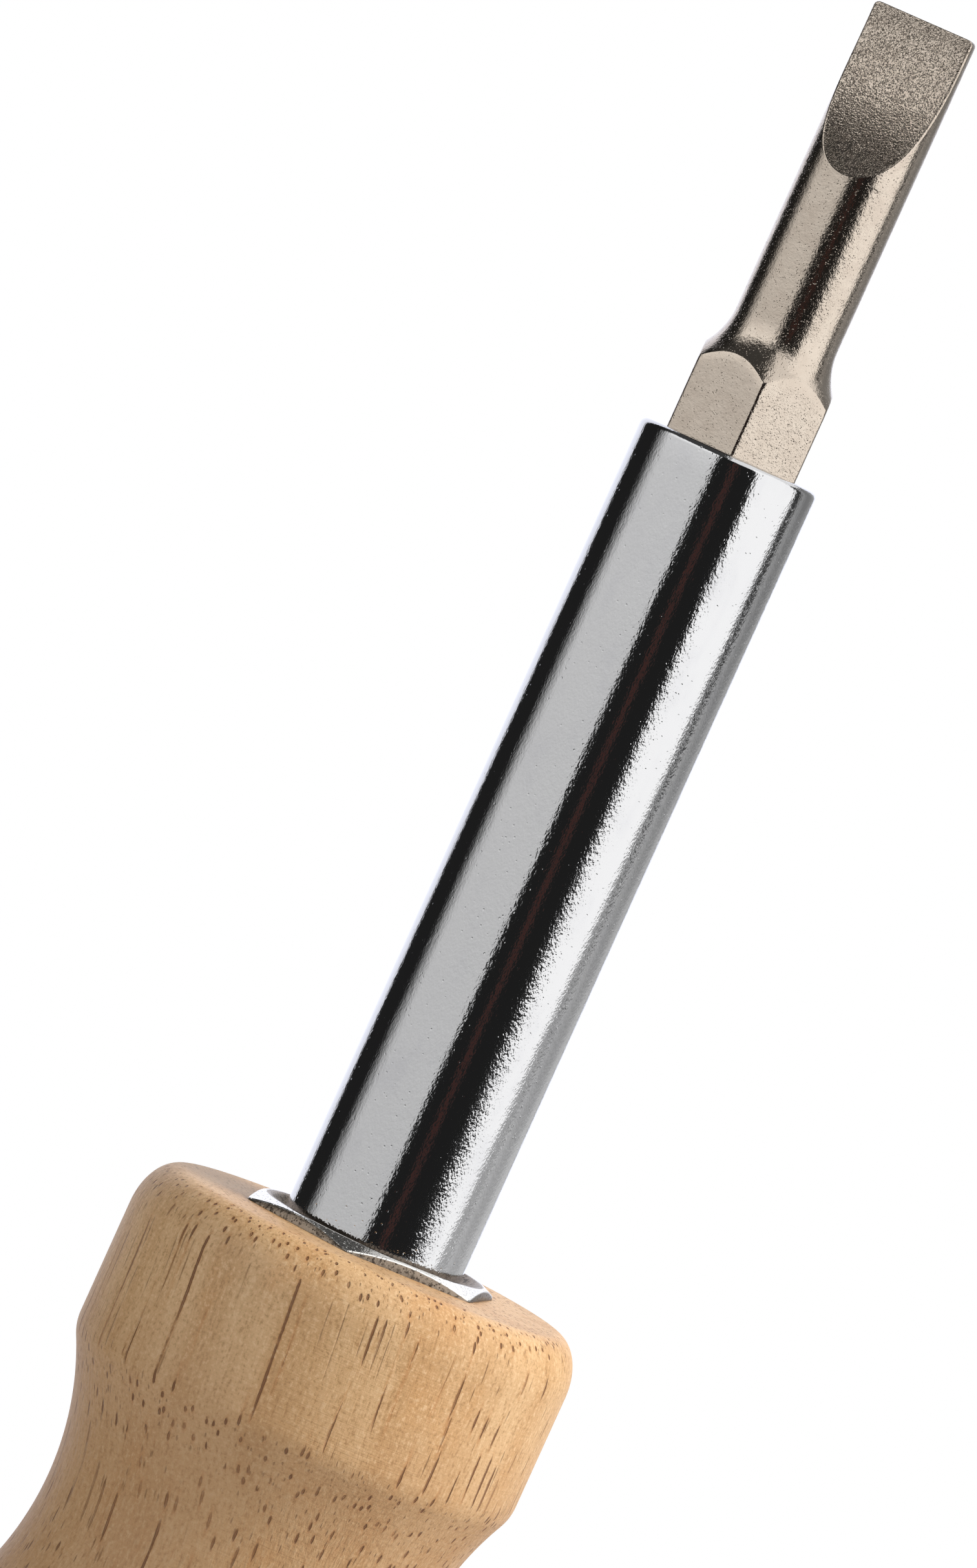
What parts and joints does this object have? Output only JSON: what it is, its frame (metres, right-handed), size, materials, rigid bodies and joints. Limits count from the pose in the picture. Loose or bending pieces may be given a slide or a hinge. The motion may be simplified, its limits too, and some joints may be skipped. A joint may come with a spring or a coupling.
{
  "type": "screwdriver",
  "caption": "Wood-handled screwdriver: a round chromed barrel plugs into a hexagonal sleeve and carries double-ended hexagon bits, the front one with a slotted blade.",
  "frame": {"origin": "centre of the flat on the butt of the handle", "axes": "+Z along the tool from the butt to the tip of the blade, +X square to one flat of the bits' hexagon"},
  "size_m": [0.03, 0.03, 0.1815],
  "materials": {
    "turned_wood": "turned pale hardwood, thin satin lacquer, open brown pores",
    "sleeve_nickel": "nickel plated, chamfered end polished",
    "barrel_chrome": "bright chrome plate",
    "satin_bit": "bead-blasted and nickel plated, fine dark pits",
    "plain_steel": "plain machined steel",
    "spring_steel": "drawn spring wire",
    "ball_steel": "ground and polished ball"
  },
  "bodies": {
    "handle": {"wood_handle": "turned_wood", "hex_sleeve": "sleeve_nickel", "drive_bush": "plain_steel", "retaining_ring": "spring_steel"},
    "rear_bit": {"rear_bit": "satin_bit", "rear_bit_spring": "spring_steel"},
    "rear_ball": {"rear_bit_ball": "ball_steel"},
    "barrel": {"barrel": "barrel_chrome", "stop_plug": "plain_steel"},
    "front_bit": {"front_bit": "satin_bit", "front_bit_spring": "spring_steel"},
    "front_ball": {"front_bit_ball": "ball_steel"}
  },
  "joints": [
    {"name": "rear_bit_pull", "type": "slide", "parent": "handle", "child": "rear_bit", "axis": [0, 0, 1], "range_m": [0, 0.06]},
    {"name": "barrel_pull", "type": "slide", "parent": "rear_bit", "child": "barrel", "axis": [0, 0, 1], "range_m": [0, 0.04]},
    {"name": "front_bit_pull", "type": "slide", "parent": "barrel", "child": "front_bit", "axis": [0, 0, 1], "range_m": [0, 0.04]},
    {"name": "front_ball_press", "type": "slide", "parent": "front_bit", "child": "front_ball", "axis": [1, 0, 0], "range_m": [-0.00035, 0], "stiffness_N_per_m": 200, "springref_m": 0.002, "deforming": ["front_bit_spring"]},
    {"name": "rear_ball_press", "type": "slide", "parent": "rear_bit", "child": "rear_ball", "axis": [1, 0, 0], "range_m": [-0.00035, 0], "stiffness_N_per_m": 200, "springref_m": 0.002, "deforming": ["rear_bit_spring"]}
  ]
}
